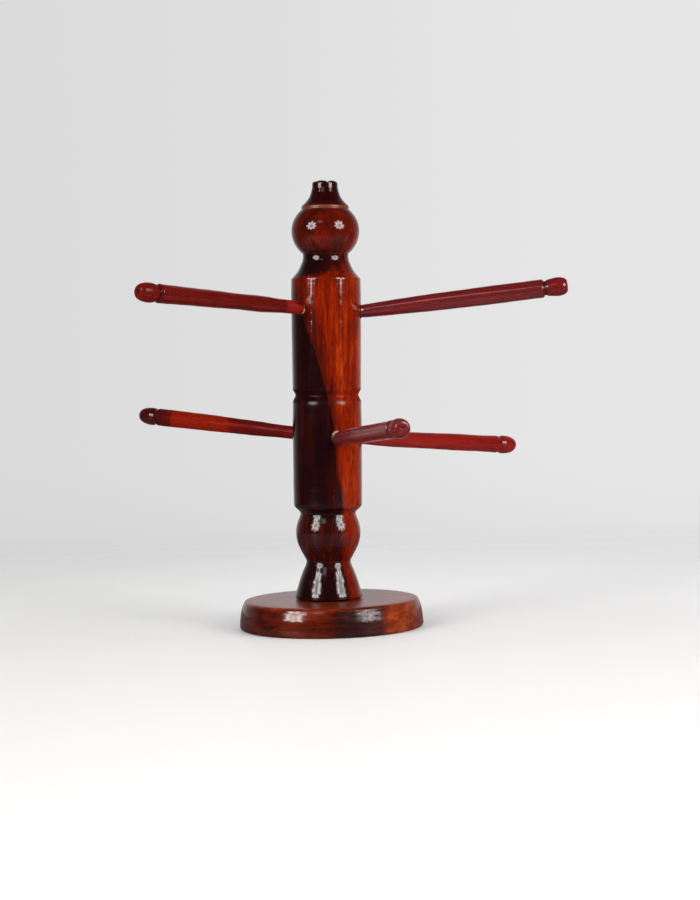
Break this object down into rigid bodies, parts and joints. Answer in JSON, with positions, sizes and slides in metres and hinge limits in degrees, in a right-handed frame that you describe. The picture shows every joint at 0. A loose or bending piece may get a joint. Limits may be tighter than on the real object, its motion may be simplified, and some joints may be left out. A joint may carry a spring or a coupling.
{
  "type": "table-top peg stand",
  "caption": "Turned hardwood post on a round base, with staggered rings of thin turned pegs that end in small knobs, for hanging mugs, bangles or other loops.",
  "frame": {"origin": "centre of the base's flat underside; the post's socket is 1.7 mm to the left of it", "axes": "+Z square to the base, with the post leaning 0.9 degrees from it towards +X; -Y is the front, towards which the lower front peg points"},
  "size_m": [0.3531, 0.3522, 0.3572],
  "materials": {
    "post_wood": "thick clear gloss lacquer over dark heartwood that turns orange-red on one side",
    "base_wood": "thick clear gloss lacquer over orange-brown wood with dark patches",
    "peg_wood": "red mahogany dye under gloss lacquer"
  },
  "bodies": {
    "root": {"post": "post_wood", "base": "base_wood", "peg_upper_left": "peg_wood", "peg_upper_right": "peg_wood", "peg_upper_rear": "peg_wood", "peg_lower_left": "peg_wood", "peg_lower_front": "peg_wood", "peg_lower_right": "peg_wood"}
  },
  "joints": []
}
